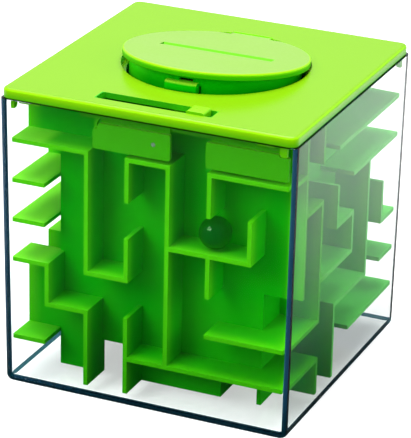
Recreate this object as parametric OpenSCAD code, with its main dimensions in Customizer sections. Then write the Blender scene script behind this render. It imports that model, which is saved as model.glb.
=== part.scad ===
// Clear cube gift box with a ball maze wrapped round its inner chamber, a
// round coin door in the lid, and a slide lock held by a tilting gate pawl.
// Millimetres. +Z up, origin at the middle of the case's underside,
// -Y is the front, where the lock is.

/* [Clear case] */
// Outside width of the case at its open top
case_w = 90; // [88:0.5:92]
// Outside width of the case at its floor
case_w_low = 88.48; // [88.3:0.02:88.6]
// Height of the clear case
case_h = 88; // [87.9:0.1:88]
// Wall thickness of the clear case
case_t = 2; // [1.6:0.1:2]
// Radius of the outer corners and edges
case_r = 3.2; // [2.5:0.1:3.6]

/* [Maze] */
// Distance from the middle to the outer edge of the maze walls
tip = 42.1; // [41.6:0.1:42.1]
// Half width of the chamber, outside
core = 31.8; // [31.6:0.1:32]
// Chamber wall thickness
core_t = 1.4; // [1.2:0.1:1.6]
// Thickness of the maze walls
wt = 1.3; // [1.1:0.1:1.4]
// Height of the lower end of the maze fins
fin_z = 3.4; // [3.2:0.1:3.8]

/* [Ball] */
// Ball diameter
ball_d = 9.5; // [8.5:0.1:9.6]
// Ball position along its shelf
ball_x = 18.8; // [14:0.1:24]

/* [Lid] */
// Half width of the lid
lid_half = 44.5; // [44:0.1:44.8]
// Height of the lid's rim
lid_h = 3.1; // [3.1:0.1:3.3]
// Thickness of the lid's top plate
lid_t = 1.7; // [1.5:0.1:1.8]
// Radius of the lid's top edge
lid_fillet = 1.0; // [0.8:0.1:1.1]
// Radius of the lid's corners in plan
lid_r = 2.4; // [2.3:0.1:3]
// Sideways position of the round door
door_x = 0.7; // [0:0.1:1]
// Front to back position of the round door
door_y = 2.5; // [2:0.1:3]
// Radius of the door's hole
hole_r = 27.5; // [27.4:0.1:27.8]

/* [Door] */
// Radius of the door
door_r = 27.2; // [27:0.1:27.2]
// Door plate thickness
door_t = 2; // [1.8:0.1:2]
// How far the door stands open, in degrees
door_open = 6.8; // [6:0.1:7]
// Outer radius of the skirt under the door
skirt_r = 24.9; // [24.6:0.1:25]
// Length of the coin slit
slit_l = 34.9; // [30:0.1:36]
// Width of the coin slit at the top
slit_w = 3; // [2.4:0.1:3.2]
// Hinge pin diameter
pin_d = 1.2; // [1:0.1:1.2]

/* [Slide lock] */
// Width of the slot in the lid
slot_w = 5.2; // [5:0.1:5.4]
// Left end of the slot
slot_x0 = -17.4; // [-18:0.1:-17]
// Right end of the slot
slot_x1 = 17.6; // [17.4:0.1:18]
// Left side of the slide's knob
knob_x0 = 9.9; // [9.5:0.1:10.2]
// Width of the slide's knob
knob_w = 5.6; // [5:0.1:6]

/* [Hidden] */
$fn = 64;
green = [0.30, 0.85, 0.05];
z_top = 87.9;
// Grid lines of the maze, across and up
P = [-tip, -31.15, -18.75, -6.25, 6.25, 18.75, 31.15, tip];
Z = [fin_z + 0.6, 14.4, 26.5, 38.8, 51, 63.1, 75.3, 87.3];
lid_z0 = case_h;
lid_z1 = case_h + lid_h;
slot_y0 = -39.9;
hinge_y = door_y + 26.5;
hinge_z = lid_z1 - 1.1;
door_z0 = lid_z1 - door_t;
skirt_z0 = lid_z1 - 7.7;
carrier_z0 = 86.8;
carrier_z1 = 88.9;
tongue_z0 = 87.7;
we = wt / 2 - 0.05;
gate_x = 1.7;
gate_z = 81.3;

function at(i, s) = i == 0 ? -tip : i == 7 ? tip : i == 0.5 ? -core : i == 6.5 ? core : P[i] + s * wt / 2;

// Every maze shelf of one face: [height line, from line, to line]
F_SH = [[6,0,2],[6,3,4],[6,5,7],[5,0,0.5],[4,0,0.5],[4,4,6],[3,0,1],[3,2,3],[2,1,2],[2,5,7],[1,0,0.5],[1,3,7]];
R_SH = [[6,3,6.5],[5,4,6.5],[5,1,2],[4,3,4],[3,2,4],[2,0.5,2],[2,3,5],[3,6,6.5],[2,6,6.5],[1,0.5,2],[1,4,6.5]];
B_SH = [[6,5,7],[6,0,1],[6,2,3],[5,6,7],[5,3,4],[5,0,0.5],[4,1,2],[4,4,5],[3,6,7],[3,2,4],[3,0,0.5],[2,5,7],[2,0,1],[2,3,4],[1,4,7],[1,0,2]];
L_SH = [[6,0.5,2],[5,0.5,2],[4,0.5,4],[3,2,4],[1,0.5,2],[6,3,5],[5,5,6.5],[2,3,4],[2,5,6.5],[3,5,6.5],[1,3,6.5],[6,6,6.5]];
// Every upright of one face: [line, from height line, to height line]
F_UP = [[2,3,6],[3,3,4],[3,5,6],[4,1,6],[6,4,5],[5,3,4],[5,5,6],[3,0,2],[1,2,3],[2,0,2]];
R_UP = [[1,3,7],[2,6,7],[2,2,5],[2,0,1],[3,4,5],[4,3,4],[3,0,2],[5,2,5],[6,3,4]];
B_UP = [[6,3,4],[5,5,6],[1,5,6],[3,5,6],[4,4,5],[2,3,4],[4,2,3],[2,1,2],[5,1,2],[1,0,1],[2,6,7],[5,3,4],[1,3,4]];
L_UP = [[1,6,7],[1,1,3],[2,5,6],[2,2,3],[4,4,5],[3,6,7],[5,5,6],[4,1,2],[5,2,3],[3,0,1],[6,0,1],[6,3,4]];

module column(h, a, r, z) {
    translate([-a + r, -a, z]) cube([2 * (a - r), 2 * a, h]);
    translate([-a, -a + r, z]) cube([2 * a, 2 * (a - r), h]);
    for (sx = [-1, 1], sy = [-1, 1]) translate([sx * (a - r), sy * (a - r), z]) cylinder(r = r, h = h);
}

// Side outline with round lower corners, for the room inside the case
module side_outline(r) {
    translate([-tip, fin_z + r]) square([2 * tip, z_top - fin_z - r]);
    translate([-tip + r, fin_z]) square([2 * (tip - r), r + 1]);
    for (s = [-1, 1]) translate([s * (tip - r), fin_z + r]) circle(r = r);
}

module room() {
    intersection() {
        column(z_top - fin_z, tip, 2, fin_z);
        translate([0, 50, 0]) rotate([90, 0, 0]) linear_extrude(100) side_outline(2.4);
        translate([-50, 0, 0]) rotate([90, 0, 90]) linear_extrude(100) side_outline(2.4);
    }
}

// Shelves and uprights drawn on the front face; other faces turn them
module shelves_raw(list, d, e = 0) {
    for (s = list) translate([at(s[1], -1) - e, -tip - e, Z[s[0]] - wt / 2])
        cube([at(s[2], 1) - at(s[1], -1) + 2 * e, d + 2 * e, wt]);
}

module uprights_raw(list, d) {
    for (u = list) translate([P[u[0]] - wt / 2, -tip, Z[u[1]] - we])
        cube([wt, d, Z[u[2]] - Z[u[1]] + 2 * we]);
}

module face_shelves(list, a) {
    intersection() {
        rotate([0, 0, a]) shelves_raw(list, tip - core);
        room();
    }
}

module face_walls(ups, shelves, a) {
    intersection() {
        difference() {
            rotate([0, 0, a]) uprights_raw(ups, tip - core);
            rotate([0, 0, a]) shelves_raw(shelves, tip - core, 0.1);
        }
        room();
    }
}

module clear_case() {
    rb = case_w_low / 2;
    rt = case_w / 2;
    color([0.85, 0.93, 0.97, 0.35]) difference() {
        hull() for (sx = [-1, 1], sy = [-1, 1]) {
            translate([sx * (rb - case_r), sy * (rb - case_r), case_r]) sphere(r = case_r, $fn = 40);
            translate([sx * (rt - case_r), sy * (rt - case_r), case_h - 0.5]) cylinder(r = case_r, h = 0.5, $fn = 40);
        }
        hull() for (sx = [-1, 1], sy = [-1, 1]) {
            translate([sx * (rb - case_t - 1.5), sy * (rb - case_t - 1.5), case_t + 1.5]) sphere(r = 1.5, $fn = 32);
            translate([sx * (rt - case_t - 1.5), sy * (rt - case_t - 1.5), case_h]) cylinder(r = 1.5, h = 2, $fn = 32);
        }
    }
}

module gift_chamber() {
    color(green) difference() {
        translate([-core, -core, 13.75]) cube([2 * core, 2 * core, 87.8 - 13.75]);
        translate([-core + core_t, -core + core_t, 15.15]) cube([2 * (core - core_t), 2 * (core - core_t), 80]);
        // Way for the slide's locking tongue
        translate([-17.5, -core - 1, 87.3]) cube([core + 15.5, core_t + 2, 2]);
    }
}

module front_shelves() { color(green) face_shelves(F_SH, 0); }
module front_walls() { color(green) face_walls(F_UP, F_SH, 0); }
module right_shelves() { color(green) face_shelves(R_SH, 90); }
module right_walls() { color(green) face_walls(R_UP, R_SH, 90); }
module back_shelves() { color(green) mirror([0, 1, 0]) face_shelves(B_SH, 0); }
module back_walls() { color(green) mirror([0, 1, 0]) face_walls(B_UP, B_SH, 0); }
module left_shelves() { color(green) mirror([1, 0, 0]) face_shelves(L_SH, 90); }
module left_walls() { color(green) mirror([1, 0, 0]) face_walls(L_UP, L_SH, 90); }

// A fin under the chamber, drawn along X, with round lower corners
module fin(len, r0, r1) {
    h = 13.75 - fin_z;
    translate([0, wt / 2, 0]) rotate([90, 0, 0]) linear_extrude(wt) {
        translate([0, r0]) square([len / 2, h - r0]);
        translate([r0, 0]) square([len - r0 - r1, h]);
        translate([len / 2, r1]) square([len / 2, h - r1]);
        if (r0 > 0) translate([r0, r0]) circle(r = r0);
        if (r1 > 0) translate([len - r1, r1]) circle(r = r1);
    }
}

// Fins that run front to back
module floor_fins_lengthwise() {
    color(green) {
        translate([P[5], P[1] + wt / 2, fin_z]) rotate([0, 0, 90]) fin(P[3] - P[1] - wt, 0, 0);
        translate([P[6], -core, fin_z]) rotate([0, 0, 90]) fin(P[2] - wt / 2 + core, 2, 0);
        translate([P[4], P[3] + wt / 2, fin_z]) rotate([0, 0, 90]) fin(P[5] - P[3] - wt / 2, 0, 2);
        translate([P[2], P[4] + wt / 2, fin_z]) rotate([0, 0, 90]) fin(core - P[4] - wt / 2, 0, 0);
        translate([P[1], P[3], fin_z]) rotate([0, 0, 90]) fin(P[5] - P[3], 2, 2);
    }
}

// Fins that run side to side
module floor_fins_crosswise() {
    color(green) {
        translate([-core, P[1], fin_z]) fin(core + P[2] + wt / 2, 2, 0);
        translate([P[3] - wt / 2, P[1], fin_z]) fin(P[5] - P[3] + wt, 0, 2);
        translate([P[6] - wt / 2, P[2], fin_z]) fin(core - P[6] + wt / 2, 0, 0);
        translate([P[4] - wt / 2, P[3], fin_z]) fin(core - P[4] + wt / 2, 0, 0);
        translate([P[2] - wt / 2, P[4], fin_z]) fin(P[3] - P[2] + wt, 0, 2);
        translate([P[5], P[5], fin_z]) fin(core - P[5], 2, 0);
    }
}

// Square plate with rounded corners in plan and a rounded top edge
module lid_blank() {
    a = lid_half - lid_r;
    f = lid_half - lid_fillet;
    column(lid_h - lid_fillet, lid_half, lid_r, lid_z0);
    translate([-a, -f, lid_z0]) cube([2 * a, 2 * f, lid_h]);
    translate([-f, -a, lid_z0]) cube([2 * f, 2 * a, lid_h]);
    for (r = [0, 90, 180, 270]) rotate([0, 0, r]) {
        translate([-a, -f, lid_z1 - lid_fillet]) rotate([0, 90, 0]) cylinder(r = lid_fillet, h = 2 * a);
        translate([a, a, lid_z0]) {
            cylinder(r = lid_r - lid_fillet, h = lid_h);
            translate([0, 0, lid_h - lid_fillet]) rotate_extrude() translate([lid_r - lid_fillet, 0]) circle(r = lid_fillet);
        }
    }
}

module lid_plate() {
    color(green) difference() {
        union() {
            difference() {
                lid_blank();
                translate([-40.6, -40.6, lid_z0 - 1]) cube([81.2, 81.2, lid_h - lid_t + 1]);
            }
            // Locating lip inside the case
            for (a = [0, 90, 180, 270]) rotate([0, 0, a]) {
                translate([32.9, -42.6, lid_z0 - 1.2]) cube([5, 1.1, 1.4]);
                translate([-39.4, -42.6, lid_z0 - 1.2]) cube([6.4, 1.1, 1.4]);
            }
            // One hanging tab at the end of each side
            for (a = [0, 90, 180, 270]) rotate([0, 0, a])
                translate([39.4, -41.5, lid_z0 - 3.5]) rotate([90, 0, 0]) linear_extrude(1.1)
                    polygon([[0, 3.7], [0, 0.8], [0.24, 0.24], [0.8, 0], [2.1, 0], [2.1, 3.7]]);
            // Collars and ledges that stop the door, left and right
            intersection() {
                difference() {
                    translate([door_x, door_y, 87.3]) cylinder(r = hole_r + 1.4, h = 2.9);
                    translate([door_x, door_y, 87.0]) cylinder(r = 25.9, h = 6);
                    translate([door_x, door_y, door_z0 - 0.3]) cylinder(r = hole_r, h = 6, $fn = 128);
                }
                union() {
                    translate([-29.3, -14, 86]) cube([11, 31, 5]);
                    translate([18.4, -14, 86]) cube([10.9, 31, 5]);
                }
            }
            // Bosses for the hinge pin
            for (s = [-1, 1]) translate([door_x + s * 9.25 - 2.75, hinge_y - 1.9, 88.3]) cube([5.5, 3.2, 2.2]);
        }
        // Hole for the door
        translate([door_x, door_y, door_z0 - 0.3]) cylinder(r = hole_r, h = 6, $fn = 128);
        // Pocket for the hinge barrel
        translate([door_x - 6.5, hinge_y - 8, 87]) cube([13, 9.4, 6]);
        // Bores for the hinge pin
        translate([door_x - 11.8, hinge_y, hinge_z]) rotate([0, 90, 0]) cylinder(d = pin_d, h = 23.6);
        // Slot for the slide's knob
        translate([slot_x0 + 1, slot_y0, 88.5]) cube([slot_x1 - slot_x0 - 2, slot_w, 6]);
        translate([slot_x0, slot_y0 + 1, 88.5]) cube([slot_x1 - slot_x0, slot_w - 2, 6]);
        for (x = [slot_x0 + 1, slot_x1 - 1], y = [slot_y0 + 1, slot_y0 + slot_w - 1])
            translate([x, y, 88.5]) cylinder(r = 1, h = 6);
    }
}

// Cover over the gate, with the gate pin's hole and a curved rib up to the lid
module gate_housing() {
    color([0.2, 0.7, 0.02]) difference() {
        union() {
            translate([-15.2, -tip, 77.2]) cube([22, 1.3, 7.6]);
            translate([-16.8, -tip, 77.2]) cube([1.8, 1.3, 5.9]);
            translate([-14.6, -tip + 1.3, 78.6]) cube([20.8, 0.5, 9.4]);
            translate([0, -tip + 1.8, 0]) rotate([90, 0, 0]) linear_extrude(1) intersection() {
                difference() {
                    translate([-13.2, 83.9]) circle(r = 3.5);
                    translate([-13.2, 83.9]) circle(r = 2.6);
                }
                translate([-17, 82.6]) square([3.8, 6]);
            }
            translate([-16.7, -tip + 0.8, 78.2]) cube([2.3, 1, 5.4]);
        }
        translate([gate_x, -tip - 1, gate_z]) rotate([-90, 0, 0]) cylinder(d = pin_d, h = 6);
    }
}

// Cover beside the front right corner
module corner_cover() {
    color([0.2, 0.7, 0.02]) {
        translate([17.5, -tip + 1.3, 0]) rotate([90, 0, 0]) linear_extrude(1.3)
            polygon([[0, 77.2], [24.4, 77.2], [24.4, 84.2], [21.6, 84.2], [21.6, 84.8], [0, 84.8]]);
        translate([18.4, -tip + 1.3, 79]) cube([21.4, 0.5, 9]);
    }
}

// Thin bed under the slide, standing out from the chamber wall
module slide_bed() {
    color(green) difference() {
        translate([-21.5, -40.3, 85.3]) cube([45, 40.3 - core, 1.2]);
        translate([-11.4, -41, 84]) cube([4.5, 3.4, 4]);
    }
}

module door_hinge_pin() {
    color([0.7, 0.7, 0.72]) translate([door_x - 11.7, hinge_y, hinge_z]) rotate([0, 90, 0]) cylinder(d = pin_d, h = 23.4);
}

module gate_pin() {
    color([0.7, 0.7, 0.72]) translate([gate_x, -tip, gate_z]) rotate([-90, 0, 0]) cylinder(d = pin_d, h = 4.2);
}

// The door lying shut
module door_shut() {
    difference() {
        union() {
            intersection() {
                translate([door_x, door_y, door_z0]) union() {
                    cylinder(r = door_r, h = door_t - 0.6, $fn = 128);
                    cylinder(r = door_r - 0.6, h = door_t, $fn = 128);
                    translate([0, 0, door_t - 0.6]) rotate_extrude($fn = 128) translate([door_r - 0.6, 0]) circle(r = 0.6, $fn = 24);
                }
                translate([-40, -40, 80]) cube([80, 40 + hinge_y - 1.7, 20]);
            }
            translate([door_x - 6.2, hinge_y - 9, door_z0]) cube([12.4, 9, door_t]);
            translate([door_x - 6.2, hinge_y, hinge_z]) rotate([0, 90, 0]) cylinder(r = 1.1, h = 12.4);
            // Skirt
            intersection() {
                difference() {
                    translate([door_x, door_y, skirt_z0]) cylinder(r = skirt_r, h = door_z0 - skirt_z0 + 0.5, $fn = 128);
                    translate([door_x, door_y, skirt_z0 - 1]) cylinder(r = skirt_r - 1.3, h = 20, $fn = 128);
                }
                translate([-40, -40, 80]) cube([80, 40 + hinge_y - 3, 12]);
            }
            // Catch
            intersection() {
                translate([-3.6, -25.4, 84.4]) cube([9.6, 4, 2.95]);
                translate([door_x, door_y, 80]) cylinder(r = 26.85, h = 20, $fn = 128);
            }
        }
        // Relief beside and above the catch
        translate([6.3, -28, skirt_z0 - 1]) cube([1.2, 8, 5.8]);
        translate([0.2, -28, 87.45]) cube([4.1, 8, 0.8]);
        // Inside of the skirt stays open below the plate
        translate([door_x, door_y, skirt_z0 - 2]) cylinder(r = skirt_r - 1.3, h = door_z0 - skirt_z0 + 2, $fn = 128);
        // Coin slit, one side sloped so that it is wide at the top
        translate([door_x - slit_l / 2, door_y - 1.4, door_z0]) rotate([90, 0, 90]) linear_extrude(slit_l)
            polygon([[0, -1], [slit_w / 2, -1], [slit_w / 2, 0.2], [slit_w, door_t], [slit_w, door_t + 1], [0, door_t + 1]]);
        // Hinge bore
        translate([door_x - 14, hinge_y, hinge_z]) rotate([0, 90, 0]) cylinder(d = pin_d + 0.1, h = 28);
    }
}

module coin_door() {
    color([0.45, 0.9, 0.2]) translate([0, hinge_y, hinge_z]) rotate([-door_open, 0, 0])
        translate([0, -hinge_y, -hinge_z]) door_shut();
}

module slide_latch() {
    color(green) {
        difference() {
            union() {
                translate([4, -39.8, carrier_z0]) cube([17.6, 6.4, carrier_z1 - carrier_z0]);
                translate([8.3, -34, tongue_z0]) cube([19.2, 11.1, carrier_z1 - tongue_z0]);
            }
            translate([13.6, -41, carrier_z0 - 1]) cube([3.8, 3.2, 4]);
        }
        translate([knob_x0, slot_y0 + 0.15, carrier_z1 - 0.3]) cube([knob_w, slot_w - 0.3, 2.7]);
        translate([knob_x0 + 0.5, slot_y0 + 0.65, carrier_z1]) cube([knob_w - 1, slot_w - 1.3, 2.9]);
    }
}

// Gate: a pivoting arm whose finger rises into the slide's notch
module gate_pawl() {
    color([0.2, 0.7, 0.02]) difference() {
        translate([0, -38.5, 0]) rotate([90, 0, 0]) linear_extrude(1.3) union() {
            translate([gate_x, gate_z]) circle(r = 1.7);
            polygon([[gate_x, gate_z - 1.5], [gate_x, gate_z + 1.3], [-8.9, 83.4], [-8.9, 86.3], [-10.4, 86.3], [-10.4, 81.4]]);
            polygon([[gate_x - 0.3, gate_z - 1.5], [5.2, 78.2], [5.9, 79.1], [gate_x + 0.3, gate_z + 1.5]]);
        }
        translate([gate_x, -42, gate_z]) rotate([-90, 0, 0]) cylinder(d = pin_d + 0.1, h = 6);
    }
}

module maze_ball() {
    color([0.02, 0.3, 0.08]) translate([ball_x, -36.85, Z[4] + wt / 2 + ball_d / 2 + 0.06]) sphere(d = ball_d);
}

clear_case();
gift_chamber();
front_shelves();
front_walls();
right_shelves();
right_walls();
back_shelves();
back_walls();
left_shelves();
left_walls();
floor_fins_lengthwise();
floor_fins_crosswise();
lid_plate();
gate_housing();
corner_cover();
slide_bed();
door_hinge_pin();
gate_pin();
coin_door();
slide_latch();
gate_pawl();
maze_ball();
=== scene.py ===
import bpy, bmesh, math
from mathutils import Matrix, Vector


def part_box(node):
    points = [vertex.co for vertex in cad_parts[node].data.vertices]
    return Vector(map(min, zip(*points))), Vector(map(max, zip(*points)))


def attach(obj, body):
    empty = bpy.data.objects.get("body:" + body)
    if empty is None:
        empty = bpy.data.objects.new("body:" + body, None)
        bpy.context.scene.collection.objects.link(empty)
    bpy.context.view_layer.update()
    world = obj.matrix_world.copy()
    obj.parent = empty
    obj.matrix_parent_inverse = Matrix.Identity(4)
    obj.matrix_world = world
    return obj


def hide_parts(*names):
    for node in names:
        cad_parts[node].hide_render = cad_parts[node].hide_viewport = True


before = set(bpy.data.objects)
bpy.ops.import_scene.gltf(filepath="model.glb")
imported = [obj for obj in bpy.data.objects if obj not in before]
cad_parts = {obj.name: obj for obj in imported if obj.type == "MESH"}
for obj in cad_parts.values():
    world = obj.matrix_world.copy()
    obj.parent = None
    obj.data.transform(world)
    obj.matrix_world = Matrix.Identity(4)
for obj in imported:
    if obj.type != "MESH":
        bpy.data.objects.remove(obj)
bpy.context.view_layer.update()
MM = 0.001


# ---------------------------------------------------------------- materials
def srgb(r, g, b):
    def f(c):
        c = c / 255.0
        return c / 12.92 if c <= 0.04045 else ((c + 0.055) / 1.055) ** 2.4
    return (f(r), f(g), f(b), 1.0)


class Nodes:
    def __init__(self, name):
        self.m = bpy.data.materials.new(name)
        self.m.use_nodes = True
        self.t = self.m.node_tree
        self.t.nodes.clear()
        self.out = self.t.nodes.new("ShaderNodeOutputMaterial")

    def n(self, kind, **kw):
        node = self.t.nodes.new(kind)
        for k, v in kw.items():
            setattr(node, k, v)
        return node

    def link(self, a, b):
        self.t.links.new(a, b)

    def math(self, op, a, b=None, c=None, clamp=False):
        node = self.n("ShaderNodeMath", operation=op, use_clamp=clamp)
        for i, v in enumerate((a, b, c)):
            if v is None:
                continue
            if isinstance(v, (int, float)):
                node.inputs[i].default_value = v
            else:
                self.link(v, node.inputs[i])
        return node.outputs[0]

    def rng(self, v, a, b, lo=0.0, hi=1.0, smooth=True):
        node = self.n("ShaderNodeMapRange", clamp=True)
        if smooth:
            node.interpolation_type = "SMOOTHSTEP"
        self.link(v, node.inputs["Value"])
        node.inputs["From Min"].default_value = a
        node.inputs["From Max"].default_value = b
        node.inputs["To Min"].default_value = lo
        node.inputs["To Max"].default_value = hi
        return node.outputs[0]

    def mix(self, fac, a, b, blend="MIX"):
        node = self.n("ShaderNodeMix", data_type="RGBA", blend_type=blend)
        for sock, v in ((node.inputs["Factor"], fac), (node.inputs["A"], a), (node.inputs["B"], b)):
            pass
        ins = [s for s in node.inputs if s.enabled]
        for sock, v in zip(ins, (fac, a, b)):
            if isinstance(v, (int, float)):
                sock.default_value = v
            elif isinstance(v, tuple):
                sock.default_value = v
            else:
                self.link(v, sock)
        return [s for s in node.outputs if s.enabled][0]

    def noise(self, scale, detail=3.0, rough=0.55, vec=None):
        node = self.n("ShaderNodeTexNoise")
        node.inputs["Scale"].default_value = scale
        node.inputs["Detail"].default_value = detail
        node.inputs["Roughness"].default_value = rough
        if vec is None:
            vec = self.coords()
        self.link(vec, node.inputs["Vector"])
        return node.outputs["Fac"]

    def coords(self):
        if not hasattr(self, "_co"):
            self._co = self.n("ShaderNodeTexCoord").outputs["Object"]
        return self._co

    def xyz(self):
        if not hasattr(self, "_xyz"):
            s = self.n("ShaderNodeSeparateXYZ")
            self.link(self.coords(), s.inputs[0])
            self._xyz = s.outputs
        return self._xyz

    def bump(self, height, strength, dist):
        b = self.n("ShaderNodeBump")
        b.inputs["Strength"].default_value = strength
        b.inputs["Distance"].default_value = dist
        self.link(height, b.inputs["Height"])
        return b.outputs[0]


def plastic(name, light, deep, edge, rough=0.28, spec=(0.5, 0.5, 0.5, 1), depth=True, up0=0.25, slot=False):
    """Moulded translucent plastic in lit and shaded copies of one colour. With depth, edge is painted light on the
    outer tips of the walls and deep is painted shade against the chamber; without depth, deep is a painted highlight on
    the upper band above edge.
    Up-facing faces take light, as painted light. A faint flow pattern and a fine moulded grain."""
    k = Nodes(name)
    p = k.n("ShaderNodeBsdfPrincipled")
    x, y, z = k.xyz()[0], k.xyz()[1], k.xyz()[2]
    geo = k.n("ShaderNodeNewGeometry")
    nz = k.n("ShaderNodeSeparateXYZ")
    k.link(geo.outputs["Normal"], nz.inputs[0])
    up = k.rng(nz.outputs[2], up0, 0.95)
    flow = k.noise(38.0, 3.0)
    if depth:
        # painted light on the outer tips of the walls (edge), painted shade against the chamber (deep)
        far = k.math("MAXIMUM", k.math("ABSOLUTE", x), k.math("ABSOLUTE", y))
        tip_lit_mask = k.rng(far, 0.0330, 0.0419)
        tip_lit_mask = k.math("POWER", tip_lit_mask, 4.0)
        base = k.mix(tip_lit_mask, deep, edge)
        # painted shade: darker towards the bottom
        base = k.mix(k.rng(z, 0.004, 0.048, 0.55, 0.0), base, (0.0005, 0.27, 0.0005, 1))
        # the painted light on up-facing faces is weaker low down and away from the left-hand face
        up = k.math("MULTIPLY", up, k.math("MULTIPLY", k.rng(z, 0.0, 0.055, 0.12, 1.0), k.rng(x, -0.0300, -0.0340, 0.10, 1.0)))
        p.inputs["Specular IOR Level"].default_value = 0.15
    else:
        # painted highlight: the upper band takes deep, the band below it edge
        base = k.mix(k.rng(z, 0.0885, 0.0904), edge, deep)
        if slot:  # the walls of the slide's slot sit in their own shade
            inside = k.math("MULTIPLY", k.rng(k.math("ABSOLUTE", k.math("ADD", y, 0.0373)), 0.0028, 0.00262), k.rng(k.math("ABSOLUTE", x), 0.0179, 0.0177))
            base = k.mix(inside, base, (0.035, 0.50, 0.006, 1))
            up = k.math("MULTIPLY", up, k.math("SUBTRACT", 1.0, inside))
    # painted light: up-facing faces take the light colour
    base = k.mix(up, base, light)
    base = k.mix(k.math("MULTIPLY", k.rng(flow, 0.35, 0.7), 0.05 if depth else 0.10), base, light)
    if depth:  # painted haze: the right-hand face of the maze is paler, standing in for the reflection on the case wall in front of it
        painted_haze = k.math("MULTIPLY", k.rng(x, 0.0314, 0.0322), k.math("MULTIPLY", k.rng(y, -0.0200, -0.0100), k.rng(nz.outputs[1], -0.6, -0.3)))
        base = k.mix(k.math("MULTIPLY", painted_haze, k.rng(y, -0.03, 0.03, 0.55, 0.85)), base, (0.18, 1.0, 0.14, 1))
    k.link(base, p.inputs["Base Color"])
    r = k.math("ADD", k.math("MULTIPLY", k.noise(900.0, 2.0), 0.10), rough)
    k.link(r, p.inputs["Roughness"])
    p.inputs["IOR"].default_value = 1.5
    # the lid's up-facing faces keep the full shine, the other faces only a faint green one, as a shaded copy
    if slot:
        k.link(k.mix(up, (0.10, 0.30, 0.03, 1), spec), p.inputs["Specular Tint"])
    else:
        p.inputs["Specular Tint"].default_value = spec
    k.link(k.bump(k.noise(1500.0, 2.0), 0.10, 0.00004), p.inputs["Normal"])
    k.link(p.outputs[0], k.out.inputs[0])
    return k.m


def shadow_clear(k, p):
    """Light passes a clear wall, so the wall throws almost no shadow."""
    lp = k.n("ShaderNodeLightPath")
    tr = k.n("ShaderNodeBsdfTransparent")
    tr.inputs[0].default_value = (0.95, 0.97, 0.965, 1.0)
    mx = k.n("ShaderNodeMixShader")
    k.link(lp.outputs["Is Shadow Ray"], mx.inputs[0])
    k.link(p.outputs[0], mx.inputs[1])
    k.link(tr.outputs[0], mx.inputs[2])
    k.link(mx.outputs[0], k.out.inputs[0])
    return k.m


def clear_plastic(name):
    """Water-clear flat walls; the right one has more shine, to match the photo."""
    k = Nodes(name)
    p = k.n("ShaderNodeBsdfPrincipled")
    x, y = k.xyz()[0], k.xyz()[1]
    k.link(k.mix(k.rng(k.noise(14.0), 0.3, 0.7), (0.99, 0.998, 0.995, 1.0), (0.98, 0.997, 0.990, 1.0)), p.inputs["Base Color"])
    k.link(k.math("MULTIPLY", k.noise(60.0), 0.015), p.inputs["Roughness"])
    p.inputs["IOR"].default_value = 1.47
    haze = k.rng(x, 0.0436, 0.0440)
    k.link(k.mix(haze, (0.04, 0.04, 0.04, 1.0), k.mix(k.rng(y, -0.035, 0.035), (0.60, 0.63, 0.61, 1.0), (1.0, 1.0, 1.0, 1.0))), p.inputs["Specular Tint"])
    p.inputs["Transmission Weight"].default_value = 1.0
    k.link(k.bump(k.noise(24.0, 1.0), 0.02, 0.0002), p.inputs["Normal"])
    return shadow_clear(k, p)


def clear_edge(name):
    """The rounded corners and the foot of the clear case gather a deep blue-green."""
    k = Nodes(name)
    p = k.n("ShaderNodeBsdfPrincipled")
    x, z = k.xyz()[0], k.xyz()[2]
    col = k.mix(k.rng(k.noise(70.0), 0.3, 0.7), (0.018, 0.115, 0.235, 1.0), (0.028, 0.14, 0.28, 1.0))
    col = k.mix(k.rng(z, 0.020, 0.002), col, (0.004, 0.045, 0.065, 1.0))
    k.link(col, p.inputs["Base Color"])
    k.link(k.math("ADD", k.math("MULTIPLY", k.noise(60.0), 0.03), 0.03), p.inputs["Roughness"])
    p.inputs["IOR"].default_value = 1.2
    p.inputs["Specular Tint"].default_value = (0.3, 0.5, 0.6, 1.0)
    p.inputs["Transmission Weight"].default_value = 0.45
    return shadow_clear(k, p)


def metal(name, col, rough):
    k = Nodes(name)
    p = k.n("ShaderNodeBsdfPrincipled")
    p.inputs["Metallic"].default_value = 0.55
    c = k.mix(k.rng(k.noise(300.0), 0.3, 0.8), col, tuple(v * 0.85 for v in col[:3]) + (1.0,))
    k.link(c, p.inputs["Base Color"])
    k.link(k.math("ADD", k.math("MULTIPLY", k.noise(2200.0), 0.08), rough), p.inputs["Roughness"])
    k.link(p.outputs[0], k.out.inputs[0])
    return k.m


# light is painted light on up-facing faces; for the maze, edge is painted light on the wall tips and deep painted shade
# against the chamber; for lid, knob and cover, deep is a painted highlight on the upper band above edge
MAZE = plastic("maze_plastic", (0.22, 0.88, 0.030, 1), (0.0003, 0.50, 0.0002, 1), (0.085, 0.70, 0.002, 1), 0.40, (0.05, 0.25, 0.02, 1))
LID = plastic("lid_plastic", (0.215, 0.49, 0.003, 1), (0.36, 0.95, 0.001, 1), (0.15, 0.72, 0.001, 1), 0.18, (0.55, 0.55, 0.55, 1), False, 0.55, True)
KNOB = plastic("knob_plastic", (0.24, 0.60, 0.004, 1), (0.20, 0.70, 0.001, 1), (0.15, 0.60, 0.001, 1), 0.24, (0.3, 0.4, 0.2, 1), False, 0.45)
COVER = plastic("cover_plastic", (0.10, 0.50, 0.004, 1), (0.05, 0.50, 0.001, 1), (0.050, 0.50, 0.001, 1), 0.42, (0.05, 0.25, 0.02, 1), False)


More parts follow.
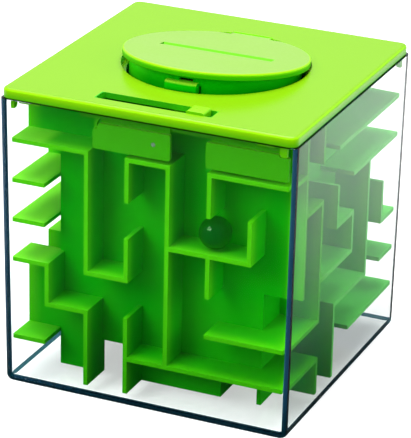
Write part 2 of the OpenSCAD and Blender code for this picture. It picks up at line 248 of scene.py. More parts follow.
def door_plastic(name):
    """Lit and shaded copies of one plastic: a pale frosted colour on the up-facing top face, a painted highlight on the
    bright rim, a deep green skirt in painted shade with a painted reflection that makes it lighter towards its left
    end, painted light on the lug's top face and painted shade in the coin slit.
    """
    k = Nodes(name)
    p = k.n("ShaderNodeBsdfPrincipled")
    x, y, z = k.xyz()[0], k.xyz()[1], k.xyz()[2]
    hgt = k.math("ADD", k.math("MULTIPLY", k.math("SUBTRACT", z, 0.090), 0.993), k.math("MULTIPLY", k.math("SUBTRACT", y, 0.029), 0.1184))
    geo = k.n("ShaderNodeNewGeometry")
    nz = k.n("ShaderNodeSeparateXYZ")
    k.link(geo.outputs["Normal"], nz.inputs[0])
    # painted shade on the skirt, with a painted reflection lighter towards its left end
    skirt = k.mix(k.rng(x, -0.009, -0.020), (0.001, 0.54, 0.0005, 1), (0.05, 1.0, 0.004, 1))
    # painted highlight: the rim is bright at the top and darker below
    rim = k.mix(k.rng(hgt, -0.0001, 0.0010), (0.05, 0.55, 0.001, 1), (0.36, 0.95, 0.004, 1))
    base = k.mix(k.rng(hgt, -0.00098, -0.00092), skirt, rim)
    # painted light: up-facing faces below the disc, the lug's top, are lighter
    lug = k.math("MULTIPLY", k.rng(hgt, -0.00098, -0.00092, 1.0, 0.0), k.rng(nz.outputs[2], 0.2, 0.8))
    base = k.mix(lug, base, (0.30, 0.75, 0.02, 1))
    top = k.mix(k.rng(k.noise(30.0), 0.35, 0.7), (0.27, 0.50, 0.075, 1), (0.26, 0.50, 0.060, 1))
    # painted shade in the coin slit
    slit_shade_mask = k.math("MULTIPLY", k.rng(k.math("ABSOLUTE", k.math("SUBTRACT", x, 0.0007)), 0.0178, 0.0176), k.rng(k.math("ABSOLUTE", k.math("SUBTRACT", y, 0.0029)), 0.0024, 0.0022))
    base = k.mix(slit_shade_mask, base, (0.16, 0.62, 0.02, 1))
    # the up-facing top face takes the pale top colour, the lit copy of the plastic
    face = k.math("MULTIPLY", k.rng(nz.outputs[2], 0.93, 0.985), k.rng(hgt, 0.00095, 0.00106))
    base = k.mix(face, base, top)
    k.link(base, p.inputs["Base Color"])
    k.link(k.math("ADD", k.math("MULTIPLY", k.noise(900.0, 2.0), 0.10), 0.30), p.inputs["Roughness"])
    # the top face shines white, the other faces only a faint green, as a shaded copy
    shine = k.mix(face, (0.06, 0.30, 0.02, 1), (0.55, 0.55, 0.55, 1))
    k.link(shine, p.inputs["Specular Tint"])
    p.inputs["IOR"].default_value = 1.5
    k.link(k.bump(k.noise(1500.0, 2.0), 0.10, 0.00004), p.inputs["Normal"])
    k.link(p.outputs[0], k.out.inputs[0])
    return k.m


DOOR = door_plastic("door_plastic")
CLEAR = clear_plastic("clear_case_plastic")
CLEAR_EDGE = clear_edge("clear_case_edge")
STEEL = metal("pin_steel", (0.50, 0.80, 0.48, 1.0), 0.22)


def green_glass(name):
    k = Nodes(name)
    p = k.n("ShaderNodeBsdfPrincipled")
    k.link(k.mix(k.rng(k.noise(120.0), 0.3, 0.7), (0.0005, 0.42, 0.0005, 1), (0.0003, 0.34, 0.0003, 1)), p.inputs["Base Color"])
    k.link(k.math("MULTIPLY", k.noise(400.0), 0.05), p.inputs["Roughness"])
    p.inputs["IOR"].default_value = 1.5
    p.inputs["Transmission Weight"].default_value = 0.80
    p.inputs["Specular Tint"].default_value = (0.5, 1.0, 0.5, 1.0)
    k.link(p.outputs[0], k.out.inputs[0])
    return k.m


BALL = green_glass("ball_glass")


# ---------------------------------------------------------------- mesh helpers
def bm_box(x0, x1, y0, y1, z0, z1):
    bm = bmesh.new()
    bmesh.ops.create_cube(bm, size=1.0)
    for v in bm.verts:
        v.co = Vector((x0 + (v.co.x + 0.5) * (x1 - x0), y0 + (v.co.y + 0.5) * (y1 - y0), z0 + (v.co.z + 0.5) * (z1 - z0)))
    return bm


def bm_lathe(profile, n=160, cx=0.0, cy=0.0):
    """Closed solid of revolution about Z; profile is a closed list of (r, z), counter-clockwise seen with r to the right."""
    bm = bmesh.new()
    rings = []
    for r, z in profile:
        if r < 1e-6:
            rings.append([bm.verts.new((cx, cy, z))])
        else:
            rings.append([bm.verts.new((cx + r * math.cos(2 * math.pi * i / n), cy + r * math.sin(2 * math.pi * i / n), z)) for i in range(n)])
    m = len(rings)
    for a in range(m):
        A, B = rings[a], rings[(a + 1) % m]
        if len(A) == 1 and len(B) == 1:
            continue
        for i in range(n):
            j = (i + 1) % n
            if len(A) == 1:
                bm.faces.new((A[0], B[j], B[i]))
            elif len(B) == 1:
                bm.faces.new((A[i], A[j], B[0]))
            else:
                bm.faces.new((A[i], A[j], B[j], B[i]))
    bmesh.ops.recalc_face_normals(bm, faces=bm.faces)
    return bm


def bm_prism(points, axis, a, b):
    """Extrudes a 2-D outline. axis 'x': points are (y, z); 'y': (x, z); 'z': (x, y)."""
    bm = bmesh.new()
    def co(p, t):
        return {"x": (t, p[0], p[1]), "y": (p[0], t, p[1]), "z": (p[0], p[1], t)}[axis]
    lo = [bm.verts.new(co(p, a)) for p in points]
    hi = [bm.verts.new(co(p, b)) for p in points]
    bm.faces.new(lo)
    bm.faces.new(list(reversed(hi)))
    n = len(points)
    for i in range(n):
        j = (i + 1) % n
        bm.faces.new((lo[j], lo[i], hi[i], hi[j]))
    bmesh.ops.recalc_face_normals(bm, faces=bm.faces)
    return bm


def rounded_rect(x0, x1, y0, y1, r, seg=8):
    pts = []
    for cx, cy, a0 in ((x1 - r, y0 + r, -90), (x1 - r, y1 - r, 0), (x0 + r, y1 - r, 90), (x0 + r, y0 + r, 180)):
        for i in range(seg + 1):
            a = math.radians(a0 + 90.0 * i / seg)
            pts.append((cx + r * math.cos(a), cy + r * math.sin(a)))
    return pts


def circle_pts(cx, cy, r, n=64):
    return [(cx + r * math.cos(2 * math.pi * i / n), cy + r * math.sin(2 * math.pi * i / n)) for i in range(n)]


def to_obj(bm, name, mats, transform=None):
    me = bpy.data.meshes.new(name)
    if transform is not None:
        bmesh.ops.transform(bm, matrix=transform, verts=bm.verts)
    bmesh.ops.scale(bm, vec=(MM, MM, MM), verts=bm.verts)
    bm.to_mesh(me)
    bm.free()
    for m in (mats if isinstance(mats, (list, tuple)) else [mats]):
        me.materials.append(m)
    ob = bpy.data.objects.new(name, me)
    bpy.context.scene.collection.objects.link(ob)
    return ob


def boolean(base, ops):
    """base and every op in millimetres as bmesh; returns a bmesh."""
    me = bpy.data.meshes.new("tmp")
    base.to_mesh(me)
    base.free()
    ob = bpy.data.objects.new("tmp", me)
    bpy.context.scene.collection.objects.link(ob)
    tools = []
    for kind, bm in ops:
        m2 = bpy.data.meshes.new("tmp_tool")
        bm.to_mesh(m2)
        bm.free()
        o2 = bpy.data.objects.new("tmp_tool", m2)
        bpy.context.scene.collection.objects.link(o2)
        tools.append(o2)
        md = ob.modifiers.new("b", "BOOLEAN")
        md.operation = kind
        md.object = o2
        md.solver = "MANIFOLD"
    dg = bpy.context.evaluated_depsgraph_get()
    dg.update()
    res = bpy.data.meshes.new_from_object(ob.evaluated_get(dg))
    out = bmesh.new()
    out.from_mesh(res)
    for o in [ob] + tools:
        d = o.data
        bpy.data.objects.remove(o)
        bpy.data.meshes.remove(d)
    bpy.data.meshes.remove(res)
    bmesh.ops.remove_doubles(out, verts=out.verts, dist=1e-5)
    bmesh.ops.dissolve_limit(out, angle_limit=math.radians(0.4), verts=out.verts, edges=out.edges, use_dissolve_boundaries=False)
    return out


def finish_mesh(ob, bevel=0.0, seg=2, angle=40.0, weighted=True, smooth_angle=40.0):
    for p in ob.data.polygons:
        p.use_smooth = True
    if bevel:
        b = ob.modifiers.new("edge_round", "BEVEL")
        b.width = bevel * MM
        b.segments = seg
        b.limit_method = "ANGLE"
        b.angle_limit = math.radians(angle)
        b.use_clamp_overlap = True
        b.miter_outer = "MITER_ARC"
        b.harden_normals = False
    else:
        ob.data.set_sharp_from_angle(angle=math.radians(smooth_angle))
    if weighted:
        w = ob.modifiers.new("weighted", "WEIGHTED_NORMAL")
        w.mode = "FACE_AREA"
        w.weight = 90
        w.keep_sharp = True
    return ob


# ---------------------------------------------------------------- maze moulding
TIP, CORE, CORE_T, WT = 42.1, 31.8, 1.4, 1.3
FIN_Z, Z_TOP = 3.4, 87.9
P = [-TIP, -31.15, -18.75, -6.25, 6.25, 18.75, 31.15, TIP]
Z = [FIN_Z + 0.6, 14.4, 26.5, 38.8, 51.0, 63.1, 75.3, 87.3]
F_SH = [[6, 0, 2], [6, 3, 4], [6, 5, 7], [5, 0, 0.5], [4, 0, 0.5], [4, 4, 6], [3, 0, 1], [3, 2, 3], [2, 1, 2], [2, 5, 7], [1, 0, 0.5], [1, 3, 7]]
R_SH = [[6, 3, 6.5], [5, 4, 6.5], [5, 1, 2], [4, 3, 4], [3, 2, 4], [2, 0.5, 2], [2, 3, 5], [3, 6, 6.5], [2, 6, 6.5], [1, 0.5, 2], [1, 4, 6.5]]
B_SH = [[6, 5, 7], [6, 0, 1], [6, 2, 3], [5, 6, 7], [5, 3, 4], [5, 0, 0.5], [4, 1, 2], [4, 4, 5], [3, 6, 7], [3, 2, 4], [3, 0, 0.5], [2, 5, 7], [2, 0, 1], [2, 3, 4], [1, 4, 7], [1, 0, 2]]
L_SH = [[6, 0.5, 2], [5, 0.5, 2], [4, 0.5, 4], [3, 2, 4], [1, 0.5, 2], [6, 3, 5], [5, 5, 6.5], [2, 3, 4], [2, 5, 6.5], [3, 5, 6.5], [1, 3, 6.5], [6, 6, 6.5]]
F_UP = [[2, 3, 6], [3, 3, 4], [3, 5, 6], [4, 1, 6], [6, 4, 5], [5, 3, 4], [5, 5, 6], [3, 0, 2], [1, 2, 3], [2, 0, 2]]
R_UP = [[1, 3, 7], [2, 6, 7], [2, 2, 5], [2, 0, 1], [3, 4, 5], [4, 3, 4], [3, 0, 2], [5, 2, 5], [6, 3, 4]]
B_UP = [[6, 3, 4], [5, 5, 6], [1, 5, 6], [3, 5, 6], [4, 4, 5], [2, 3, 4], [4, 2, 3], [2, 1, 2], [5, 1, 2], [1, 0, 1], [2, 6, 7], [5, 3, 4], [1, 3, 4]]
L_UP = [[1, 6, 7], [1, 1, 3], [2, 5, 6], [2, 2, 3], [4, 4, 5], [3, 6, 7], [5, 5, 6], [4, 1, 2], [5, 2, 3], [3, 0, 1], [6, 0, 1], [6, 3, 4]]


def at(i, s):
    return {0: -TIP, 7: TIP, 0.5: -CORE, 6.5: CORE}.get(i, None) if i in (0, 7, 0.5, 6.5) else P[int(i)] + s * WT / 2


def face_boxes(sh, up, side):
    out = []
    def put(u0, u1, z0, z1):
        z0, z1 = max(z0, FIN_Z), min(z1, Z_TOP)
        if side == "front":
            out.append((u0, u1, -TIP, -CORE, z0, z1))
        elif side == "back":
            out.append((u0, u1, CORE, TIP, z0, z1))
        elif side == "right":
            out.append((CORE, TIP, u0, u1, z0, z1))
        else:
            out.append((-TIP, -CORE, u0, u1, z0, z1))
    for h, a, b in sh:
        put(at(a, -1), at(b, 1), Z[h] - WT / 2, Z[h] + WT / 2)
    for i, a, b in up:
        put(P[i] - WT / 2, P[i] + WT / 2, Z[a] - WT / 2, Z[b] + WT / 2)
    return out


maze_boxes = face_boxes(F_SH, F_UP, "front") + face_boxes(R_SH, R_UP, "right") + face_boxes(B_SH, B_UP, "back") + face_boxes(L_SH, L_UP, "left")
CI = CORE - CORE_T
maze_boxes += [(-CORE, CORE, -CORE, -CI, 13.75, 87.8), (-CORE, CORE, CI, CORE, 13.75, 87.8),
               (-CORE, -CI, -CORE, CORE, 13.75, 87.8), (CI, CORE, -CORE, CORE, 13.75, 87.8),
               (-CORE, CORE, -CORE, CORE, 13.75, 15.15)]
h = WT / 2
fins = [  # lengthwise, then crosswise
    (P[5] - h, P[5] + h, P[1] + h, P[3] - h), (P[6] - h, P[6] + h, -CORE, P[2] - h), (P[4] - h, P[4] + h, P[3] + h, P[5]),
    (P[2] - h, P[2] + h, P[4] + h, CORE), (P[1] - h, P[1] + h, P[3], P[5]),
    (-CORE, P[2] + h, P[1] - h, P[1] + h), (P[3] - h, P[5] + h, P[1] - h, P[1] + h), (P[6] - h, CORE, P[2] - h, P[2] + h),
    (P[4] - h, CORE, P[3] - h, P[3] + h), (P[2] - h, P[3] + h, P[4] - h, P[4] + h), (P[5], CORE, P[5] - h, P[5] + h)]
maze_boxes += [(a, b, c, d, FIN_Z, 13.75) for a, b, c, d in fins]
maze_boxes.append((-32.3, -31.2, 31.2, 32.3, FIN_Z, 13.75))
CUTS = [(-17.5, 29.8, -CORE - 0.01, -CI + 0.01, 87.3, 90.0)]


def grid_union(boxes, cuts):
    def axis(k):
        vals = sorted(set(round(v, 4) for b in boxes + cuts for v in (b[2 * k], b[2 * k + 1])))
        return vals
    X, Y, Zs = axis(0), axis(1), axis(2)
    ix = {v: i for i, v in enumerate(X)}
    iy = {v: i for i, v in enumerate(Y)}
    iz = {v: i for i, v in enumerate(Zs)}
    full = set()
    def cells(b):
        for i in range(ix[round(b[0], 4)], ix[round(b[1], 4)]):
            for j in range(iy[round(b[2], 4)], iy[round(b[3], 4)]):
                for k in range(iz[round(b[4], 4)], iz[round(b[5], 4)]):
                    yield (i, j, k)
    for b in boxes:
        full.update(cells(b))
    for b in cuts:
        full.difference_update(cells(b))
    bm = bmesh.new()
    vmap = {}
    def vert(i, j, k):
        key = (i, j, k)
        if key not in vmap:
            vmap[key] = bm.verts.new((X[i], Y[j], Zs[k]))
        return vmap[key]
    for (i, j, k) in sorted(full):
        if (i - 1, j, k) not in full:
            bm.faces.new((vert(i, j, k), vert(i, j, k + 1), vert(i, j + 1, k + 1), vert(i, j + 1, k)))
        if (i + 1, j, k) not in full:
            bm.faces.new((vert(i + 1, j, k), vert(i + 1, j + 1, k), vert(i + 1, j + 1, k + 1), vert(i + 1, j, k + 1)))
        if (i, j - 1, k) not in full:
            bm.faces.new((vert(i, j, k), vert(i + 1, j, k), vert(i + 1, j, k + 1), vert(i, j, k + 1)))
        if (i, j + 1, k) not in full:
            bm.faces.new((vert(i, j + 1, k), vert(i, j + 1, k + 1), vert(i + 1, j + 1, k + 1), vert(i + 1, j + 1, k)))
        if (i, j, k - 1) not in full:
            bm.faces.new((vert(i, j, k), vert(i, j + 1, k), vert(i + 1, j + 1, k), vert(i + 1, j, k)))
        if (i, j, k + 1) not in full:
            bm.faces.new((vert(i, j, k + 1), vert(i + 1, j, k + 1), vert(i + 1, j + 1, k + 1), vert(i, j + 1, k + 1)))
    bmesh.ops.recalc_face_normals(bm, faces=bm.faces)
    return bm


bm = grid_union(maze_boxes, CUTS)
bad = [e for e in bm.edges if len(e.link_faces) != 2]
print("maze: non-manifold edges", len(bad), [tuple(round(c, 2) for c in e.verts[0].co) for e in bad[:6]])
bmesh.ops.dissolve_limit(bm, angle_limit=math.radians(0.5), verts=bm.verts, edges=bm.edges, use_dissolve_boundaries=False)


def near(a, b):
    return abs(a - b) < 1e-3


tips = [e for e in bm.edges if all(near(abs(v.co.x), TIP) and near(abs(v.co.y), TIP) for v in e.verts) and e.calc_length() < 1.5]
feet = [e for e in bm.edges if all(near(v.co.z, FIN_Z) for v in e.verts) and e.calc_length() < 1.4 and len(e.link_faces) == 2 and e.is_convex]
bmesh.ops.bevel(bm, geom=tips + feet, offset=2.0, offset_type="OFFSET", segments=7, profile=0.5, affect="EDGES", clamp_overlap=True)
maze = to_obj(bm, "maze_moulding", MAZE)
finish_mesh(maze, bevel=0.2, seg=2, angle=50.0)
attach(maze, "root")
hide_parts("gift_chamber", "front_shelves", "front_walls", "right_shelves", "right_walls", "back_shelves",
            "back_walls", "left_shelves", "left_walls", "floor_fins_lengthwise", "floor_fins_crosswise")


# ---------------------------------------------------------------- clear case
def ring(bm, half, r, z, seg=10):
    r = max(r, 0.05)
    return [bm.verts.new((x, y, z)) for x, y in rounded_rect(-half, half, -half, half, r, seg)]


def bridge(bm, a, b):
    n = len(a)
    for i in range(n):
        j = (i + 1) % n
        bm.faces.new((a[i], a[j], b[j], b[i]))


def make_case():
    bm = bmesh.new()
    hb, ht, H, T, R, RI = 44.24, 45.0, 88.0, 1.6, 2.2, 0.9
    def ho(z):
        return hb + (ht - hb) * z / H
    rings = []
    for i in range(9):  # outer bottom fillet
        t = math.radians(90.0 * i / 8)
        rings.append(ring(bm, ho(0) - 2.2 * (1 - math.sin(t)), 0.4 + 1.8 * math.sin(t), 2.2 * (1 - math.cos(t))))
    for z in (25, 50, 75):
        rings.append(ring(bm, ho(z), R, z))
    rings.append(ring(bm, ho(H - 0.06), R, H - 0.06))
    rings.append(ring(bm, ho(H) - 0.06, R - 0.06, H))
    rings.append(ring(bm, ho(H) - T + 0.06, RI + 0.06, H))
    rings.append(ring(bm, ho(H - 0.06) - T, RI, H - 0.06))
    for z in (75, 50, 25):
        rings.append(ring(bm, ho(z) - T, RI, z))
    hi = ho(T) - T
    for i in range(7):
        t = math.radians(90.0 * i / 6)
        rings.append(ring(bm, hi - 1.3 * (1 - math.cos(t)), RI - 0.8 * (1 - math.cos(t)), T + 1.3 * (1 - math.sin(t))))
    for a, b in zip(rings, rings[1:]):
        bridge(bm, a, b)
    bm.faces.new(list(reversed(rings[0])))
    bm.faces.new(rings[-1])
    bmesh.ops.recalc_face_normals(bm, faces=bm.faces)
    return bm


case = to_obj(make_case(), "clear_case_shell", [CLEAR, CLEAR_EDGE])
for f in case.data.polygons:
    c = f.center / MM
    half = 44.24 + 0.76 * c.z / 88.0
    outer = half - max(abs(c.x), abs(c.y)) < 1.25
    corner = half - min(abs(c.x), abs(c.y)) < 1.25 and outer and c.z < 87.5
    foot = c.z < 1.75 and outer and abs(f.normal.z) < 0.97
    if corner or foot:
        f.material_index = 1
finish_mesh(case, weighted=True, smooth_angle=50)
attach(case, "root")
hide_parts("clear_case")


# ---------------------------------------------------------------- lid
LH, LR, LZ0, LZ1, LT, LF = 44.5, 2.4, 88.0, 91.1, 1.7, 1.0
DX, DY, HR = 0.7, 2.5, 27.5
HY, HZ = 29.0, 90.0


def make_lid():
    bm = bmesh.new()
    rings = [ring(bm, 40.6, 1.2, LZ0), ring(bm, LH - 0.3, LR - 0.3, LZ0), ring(bm, LH, LR, LZ0 + 0.3)]
    for i in range(9):
        t = math.radians(90.0 * i / 8)
        rings.append(ring(bm, LH - LF * (1 - math.cos(t)), LR - LF * (1 - math.cos(t)), LZ1 - LF + LF * math.sin(t)))
    for a, b in zip(rings, rings[1:]):
        bridge(bm, a, b)
    bm.faces.new(rings[-1])
    inner = ring(bm, 40.6, 1.2, LZ1 - LT)
    bridge(bm, inner, rings[0])
    bm.faces.new(list(reversed(inner)))
    bmesh.ops.recalc_face_normals(bm, faces=bm.faces)
    ops = []
    for a in (0, 90, 180, 270):
        rot = Matrix.Rotation(math.radians(a), 4, "Z")
        for x0, x1 in ((32.9, 37.9), (-39.4, -33.0)):
            b = bm_box(x0, x1, -42.6, -41.5, LZ0 - 1.2, LZ0 + 0.2)
            bmesh.ops.transform(b, matrix=rot, verts=b.verts)
            ops.append(("UNION", b))
        tab = bm_prism([(39.4, 88.2), (39.4, 85.3), (39.63, 84.73), (40.2, 84.5), (41.5, 84.5), (41.5, 88.2)], "y", -42.6, -41.5)
        bmesh.ops.transform(tab, matrix=rot, verts=tab.verts)
        ops.append(("UNION", tab))
    for s in (-1, 1):
        pts = []
        def arc(r, a0, a1, n=20):
            return [(DX + r * math.cos(math.radians(a0 + (a1 - a0) * i / n)), DY + r * math.sin(math.radians(a0 + (a1 - a0) * i / n))) for i in range(n + 1)]
        c = 0 if s > 0 else 180
        a = 33.0
        # collar trimmed to the room between the chamber walls, and its ledge
        col = bm_prism([(min(x, 29.3) if s > 0 else max(x, -29.3), y) for x, y in arc(28.9, c - a, c + a) + list(reversed(arc(25.9, c - a, c + a)))], "z", 87.3, 88.8)
        ops.append(("UNION", col))
        col2 = bm_prism([(min(x, 29.3) if s > 0 else max(x, -29.3), y) for x, y in arc(28.9, c - a, c + a) + list(reversed(arc(HR - 0.01, c - a, c + a)))], "z", 88.5, 89.6)
        ops.append(("UNION", col2))
        xb = DX + s * 9.25
        ops.append(("UNION", bm_box(xb - 2.75, xb + 2.75, HY - 1.9, HY + 1.3, 88.3, 89.6)))
    ops.append(("DIFFERENCE", bm_prism(circle_pts(DX, DY, HR, 160), "z", 88.8, 96)))
    ops.append(("DIFFERENCE", bm_box(DX - 6.33, DX + 6.33, HY - 8, HY + 1.22, 86, 96)))
    ops.append(("DIFFERENCE", bm_prism(circle_pts(HY, HZ, 0.62, 24), "x", DX - 11.8, DX + 11.8)))
    slot = rounded_rect(-17.4, 17.6, -39.9, -34.7, 1.0, 5)
    ops.append(("DIFFERENCE", bm_prism(slot, "z", 86, 96)))
    return boolean(bm, ops)


lid = to_obj(make_lid(), "lid_shell", LID)
finish_mesh(lid, bevel=0.22, seg=3, angle=40.0)
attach(lid, "root")
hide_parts("lid_plate")

# ---------------------------------------------------------------- coin door
DR, DT, SR = 27.2, 2.0, 24.9
DZ0 = LZ1 - DT
SZ0 = LZ1 - 7.7


def make_door():
    f = 0.6
    prof = [(0, DZ0), (DR - 0.2, DZ0), (DR, DZ0 + 0.2)]
    for i in range(7):
        t = math.radians(90.0 * i / 6)
        prof.append((DR - f + f * math.cos(t), LZ1 - f + f * math.sin(t)))
    prof.append((0, LZ1))
    bm = bm_lathe(prof, 192, DX, DY)
    ops = [("DIFFERENCE", bm_box(-40, 40, HY - 1.7, HY + 10, 80, 100)),
           ("UNION", bm_box(DX - 6.2, DX + 6.2, HY - 9, HY, DZ0, LZ1)),
           ("UNION", bm_prism(circle_pts(HY, HZ, 1.1, 40), "x", DX - 6.2, DX + 6.2))]
    skirt = bm_lathe([(SR - 1.3, SZ0 + 0.2), (SR - 1.1, SZ0), (SR - 0.3, SZ0), (SR, SZ0 + 0.3), (SR, DZ0 + 0.5), (SR - 1.3, DZ0 + 0.5)], 192, DX, DY)
    skirt = boolean(skirt, [("INTERSECT", bm_box(-40, 40, -40, HY - 3, 70, 110))])
    ops.append(("UNION", skirt))
    lp = [(20.0, 84.4), (26.45, 84.4), (26.85, 84.8)] + [(25.85 + math.cos(math.radians(a)), 86.35 + math.sin(math.radians(a))) for a in range(0, 91, 15)] + [(20.0, 87.35)]
    lug = boolean(bm_lathe(lp, 192, DX, DY), [("INTERSECT", bm_box(-3.6, 6.0, -30, -21.4, 80, 100))])
    ops.append(("UNION", lug))
    inside = bm_prism(circle_pts(DX, DY, SR - 1.3, 192), "z", 70, DZ0)
    ops.append(("DIFFERENCE", inside))
    ops.append(("DIFFERENCE", bm_box(6.05, 6.6, -30, -20, SZ0 - 1, SZ0 + 3.0)))
    ops.append(("DIFFERENCE", bm_box(0.2, 4.3, -30, -20, 87.45, 88.25)))
    y0 = DY - 1.4
    ops.append(("DIFFERENCE", bm_prism([(y0, DZ0 - 1), (y0 + 1.5, DZ0 - 1), (y0 + 1.5, DZ0 + 0.2), (y0 + 3.0, LZ1), (y0 + 3.0, LZ1 + 1), (y0, LZ1 + 1)], "x", DX - 17.45, DX + 17.45)))
    ops.append(("DIFFERENCE", bm_prism(circle_pts(HY, HZ, 0.65, 24), "x", DX - 14, DX + 14)))
    return boolean(bm, ops)


tilt = Matrix.Translation((0, HY, HZ)) @ Matrix.Rotation(math.radians(-6.8), 4, "X") @ Matrix.Translation((0, -HY, -HZ))
door = to_obj(make_door(), "coin_door_flap", DOOR, tilt)
finish_mesh(door, bevel=0.15, seg=2, angle=50.0)
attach(door, "door")
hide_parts("coin_door")

# ---------------------------------------------------------------- slide latch
def make_slide():
    bm = bm_box(4, 21.6, -39.8, -33.4, 86.8, 88.9)
    kn = [(9.9, 88.5), (15.5, 88.5), (15.5, 91.0)] + [(14.7 + 0.8 * math.cos(math.radians(a)), 91.0 + 0.8 * math.sin(math.radians(a))) for a in (15, 30, 45, 60, 75, 90)] + \
         [(10.7 + 0.8 * math.cos(math.radians(a)), 91.0 + 0.8 * math.sin(math.radians(a))) for a in (90, 105, 120, 135, 150, 165, 180)]
    ops = [("UNION", bm_box(8.3, 27.5, -34, -22.9, 87.7, 88.9)),
           ("DIFFERENCE", bm_box(13.6, 17.4, -42, -37.8, 80, 88.6)),
           ("UNION", bm_prism(kn, "y", -39.75, -34.85))]
    return boolean(bm, ops)


slide = to_obj(make_slide(), "slide_knob", KNOB)
finish_mesh(slide, bevel=0.3, seg=3, angle=50.0)
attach(slide, "slide")
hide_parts("slide_latch")


# ---------------------------------------------------------------- cover plates
def outline_round(pts, r, seg=6):
    """Rounds every convex or concave corner of an outline by up to r."""
    out = []
    n = len(pts)
    for i in range(n):
        p0, p1, p2 = Vector(pts[i - 1]), Vector(pts[i]), Vector(pts[(i + 1) % n])
        a, b = (p0 - p1), (p2 - p1)
        la, lb = a.length, b.length
        a.normalize(); b.normalize()
        ang = a.angle(b)
        d = min(r / math.tan(ang / 2), la * 0.45, lb * 0.45)
        rr = d * math.tan(ang / 2)
        c = p1 + (a + b).normalized() * (rr / math.sin(ang / 2))
        s, e = p1 + a * d, p1 + b * d
        a0 = math.atan2(s.y - c.y, s.x - c.x)
        a1 = math.atan2(e.y - c.y, e.x - c.x)
        da = (a1 - a0 + math.pi) % (2 * math.pi) - math.pi
        for k in range(seg + 1):
            t = a0 + da * k / seg
            out.append((c.x + rr * math.cos(t), c.y + rr * math.sin(t)))
    return out


def make_housing():
    plate = outline_round([(-16.8, 77.2), (6.8, 77.2), (6.8, 84.8), (-15.2, 84.8), (-15.2, 83.1), (-16.8, 83.1)], 0.6)
    bm = bm_prism(plate, "y", -TIP, -TIP + 1.3)
    ops = [("UNION", bm_box(-14.6, 6.2, -TIP + 1.2, -TIP + 1.8, 78.6, 88.0)),
           ("UNION", bm_box(-16.7, -14.4, -TIP + 0.8, -TIP + 1.8, 78.2, 83.6))]
    arc_o = [(-13.2 + 3.5 * math.cos(math.radians(a)), 83.9 + 3.5 * math.sin(math.radians(a))) for a in range(90, 201, 5)]
    arc_i = [(-13.2 + 2.6 * math.cos(math.radians(a)), 83.9 + 2.6 * math.sin(math.radians(a))) for a in range(200, 89, -5)]
    ops.append(("UNION", bm_prism(arc_o + arc_i, "y", -TIP + 0.8, -TIP + 1.8)))
    ops.append(("DIFFERENCE", bm_prism(circle_pts(1.7, 81.3, 0.72, 24), "y", -44, -37)))
    return boolean(bm, ops)


housing = to_obj(make_housing(), "gate_housing_plate", COVER)
finish_mesh(housing, bevel=0.35, seg=4, angle=50.0)
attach(housing, "root")
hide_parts("gate_housing")

cov = bm_prism(outline_round([(17.5, 77.2), (41.9, 77.2), (41.9, 84.2), (39.1, 84.2), (39.1, 84.8), (17.5, 84.8)], 0.5), "y", -TIP, -TIP + 1.3)
cover = to_obj(boolean(cov, [("UNION", bm_box(18.4, 39.8, -TIP + 1.2, -TIP + 1.8, 79, 88))]), "corner_cover_plate", COVER)
finish_mesh(cover, bevel=0.35, seg=4, angle=50.0)
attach(cover, "root")
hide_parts("corner_cover")

# ---------------------------------------------------------------- ball
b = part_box("maze_ball")
c = [(b[0][i] + b[1][i]) / 2 for i in range(3)]
bm = bmesh.new()
bmesh.ops.create_icosphere(bm, subdivisions=5, radius=(b[1][0] - b[0][0]) / 2 / MM)
ball = to_obj(bm, "green_ball", BALL, Matrix.Translation([v / MM for v in c]))
finish_mesh(ball, weighted=False, smooth_angle=80)
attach(ball, "ball")
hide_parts("maze_ball")

# ---------------------------------------------------------------- carried-over CAD nodes
for node, mat in (("slide_bed", COVER), ("gate_pawl", COVER), ("door_hinge_pin", STEEL), ("gate_pin", STEEL)):
    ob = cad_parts[node]
    ob.data.materials.clear()
    ob.data.materials.append(mat)
    if mat is COVER:
        m = ob.modifiers.new("edge_round", "BEVEL")
        m.width = 0.00012
        m.segments = 2
        m.limit_method = "ANGLE"
        m.angle_limit = math.radians(50)

# ---------------------------------------------------------------- stage
me = bpy.data.meshes.new("floor")
me.from_pydata([(-4, -4, 0), (4, -4, 0), (4, 4, 0), (-4, 4, 0)], [], [(0, 1, 2, 3)])
k = Nodes("floor_paper")
d = k.n("ShaderNodeBsdfPrincipled")
d.inputs["Roughness"].default_value = 0.9
d.inputs["Specular IOR Level"].default_value = 0.1
lp = k.n("ShaderNodeLightPath")
dim = k.math("GREATER_THAN", k.math("ADD", lp.outputs["Glossy Depth"], lp.outputs["Diffuse Depth"]), 0.5)
# painted reflection: reflected rays that have passed the case walls see the floor dark blue-green
inner = k.math("MULTIPLY", k.math("GREATER_THAN", lp.outputs["Glossy Depth"], 0.5), k.math("GREATER_THAN", lp.outputs["Transmission Depth"], 0.5))
dist = k.math("SQRT", k.math("ADD", k.math("MULTIPLY", k.xyz()[0], k.xyz()[0]), k.math("MULTIPLY", k.xyz()[1], k.xyz()[1])))
away = k.rng(dist, 0.052, 0.238, smooth=False)  # painted shade: in reflections the floor is darker close to the object
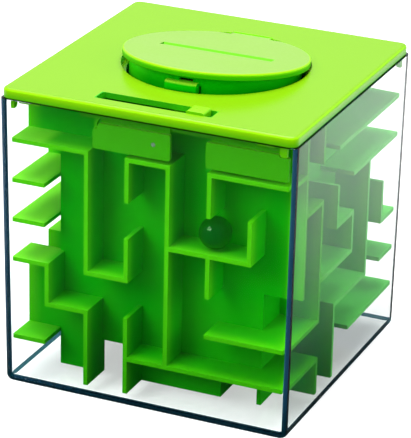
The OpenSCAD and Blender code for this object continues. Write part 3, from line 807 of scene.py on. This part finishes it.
# painted shade: light bounced off the floor comes from a dark grey floor
matt = k.math("GREATER_THAN", lp.outputs["Diffuse Depth"], 0.5)
away = k.mix(matt, away, (0.20, 0.20, 0.20, 1))
paper = k.mix(k.math("MULTIPLY", k.noise(40.0), 0.03), (0.72, 0.72, 0.72, 1), (0.66, 0.66, 0.66, 1))
k.link(k.mix(dim, paper, k.mix(inner, k.mix(away, (0.05, 0.06, 0.055, 1), (0.95, 0.97, 0.96, 1)), (0.008, 0.055, 0.09, 1))), d.inputs["Base Color"])
glow = k.n("ShaderNodeEmission")
glow.inputs["Color"].default_value = (1, 1, 1, 1)
glow.inputs["Strength"].default_value = 0.62
add = k.n("ShaderNodeAddShader")
k.link(d.outputs[0], add.inputs[0])
k.link(glow.outputs[0], add.inputs[1])
mxf = k.n("ShaderNodeMixShader")
k.link(dim, mxf.inputs[0])
k.link(add.outputs[0], mxf.inputs[1])
k.link(d.outputs[0], mxf.inputs[2])
k.link(mxf.outputs[0], k.out.inputs[0])
me.materials.append(k.m)
floor = bpy.data.objects.new("floor", me)
floor.location = (0, 0, -0.0002)
bpy.context.scene.collection.objects.link(floor)

w = bpy.data.worlds.new("studio")
bpy.context.scene.world = w
w.use_nodes = True
nt = w.node_tree
nt.nodes.clear()
wo = nt.nodes.new("ShaderNodeOutputWorld")
bg = nt.nodes.new("ShaderNodeBackground")
lpw = nt.nodes.new("ShaderNodeLightPath")
ws = nt.nodes.new("ShaderNodeMapRange")  # light on matt surfaces is softer than what mirrors and eyes see
ws.inputs["From Max"].default_value = 1.0
ws.inputs["To Min"].default_value = 1.0
ws.inputs["To Max"].default_value = 0.30
gd = nt.nodes.new("ShaderNodeMath")
gd.operation = "MULTIPLY"
gd.inputs[1].default_value = 0.6
nt.links.new(lpw.outputs["Glossy Depth"], gd.inputs[0])
gs = nt.nodes.new("ShaderNodeMath")
gs.operation = "ADD"
nt.links.new(gd.outputs[0], gs.inputs[0])
nt.links.new(lpw.outputs["Diffuse Depth"], gs.inputs[1])
nt.links.new(gs.outputs[0], ws.inputs["Value"])
nt.links.new(ws.outputs[0], bg.inputs[1])
gt = nt.nodes.new("ShaderNodeMath")  # light trapped in the walls of the case turns blue-green
gt.operation = "MULTIPLY"
gt.use_clamp = True
nt.links.new(lpw.outputs["Glossy Depth"], gt.inputs[0])
nt.links.new(lpw.outputs["Transmission Depth"], gt.inputs[1])
gm = nt.nodes.new("ShaderNodeMix")
gm.data_type = "RGBA"
nt.links.new(gt.outputs[0], gm.inputs[0])
gm.inputs[6].default_value = (1.0, 1.0, 1.0, 1.0)
gm.inputs[7].default_value = (0.03, 0.17, 0.32, 1.0)
nt.links.new(gm.outputs[2], bg.inputs[0])
nt.links.new(bg.outputs[0], wo.inputs[0])


def area(name, loc, target, size, power):
    l = bpy.data.lights.new(name, "AREA")
    l.shape = "RECTANGLE"
    l.size, l.size_y = size
    l.energy = power
    o = bpy.data.objects.new(name, l)
    o.location = loc
    o.rotation_euler = (Vector(target) - Vector(loc)).to_track_quat("-Z", "Y").to_euler()
    bpy.context.scene.collection.objects.link(o)
    return o


area("top_soft", (-0.05, 0.05, 0.80), (0, 0, 0.05), (0.6, 0.6), 9.0)
area("front_soft", (-0.45, -0.80, 0.70), (0, 0, 0.05), (0.5, 0.5), 4.0)
area("right_soft", (0.95, -0.10, 0.45), (0, 0, 0.05), (0.5, 0.5), 2.3)

cam = bpy.data.cameras.new("camera")
cam.sensor_fit = "VERTICAL"
cam.sensor_height = 36.0
cam.lens = 2657.77 * 36.0 / 438.0
cam.clip_start, cam.clip_end = 0.05, 20.0
co = bpy.data.objects.new("camera", cam)
az, el, roll = math.radians(23.305), math.radians(22.632), math.radians(1.299)
back = Vector((math.sin(az) * math.cos(el), -math.cos(az) * math.cos(el), math.sin(el)))
fwd = -back
right = fwd.cross(Vector((0, 0, 1))).normalized()
up = right.cross(fwd)
cx = math.cos(roll) * right + math.sin(roll) * up
cy = -math.sin(roll) * right + math.cos(roll) * up
R = Matrix((cx, cy, back)).transposed().to_4x4()
co.matrix_world = Matrix.Translation((0.284891, -0.662838, 0.343771)) @ R
# the photograph's centre is (205, 219) in a 411 x 438 frame
cam.shift_x = (205.5 - 205.0) / 438.0
bpy.context.scene.collection.objects.link(co)
bpy.context.scene.camera = co

sc = bpy.context.scene
sc.view_settings.view_transform = "Standard"
sc.view_settings.look = "None"
sc.cycles.max_bounces = 32
sc.cycles.transmission_bounces = 24
sc.cycles.transparent_max_bounces = 24
sc.cycles.diffuse_bounces = 6
sc.cycles.glossy_bounces = 16
sc.cycles.use_denoising = True
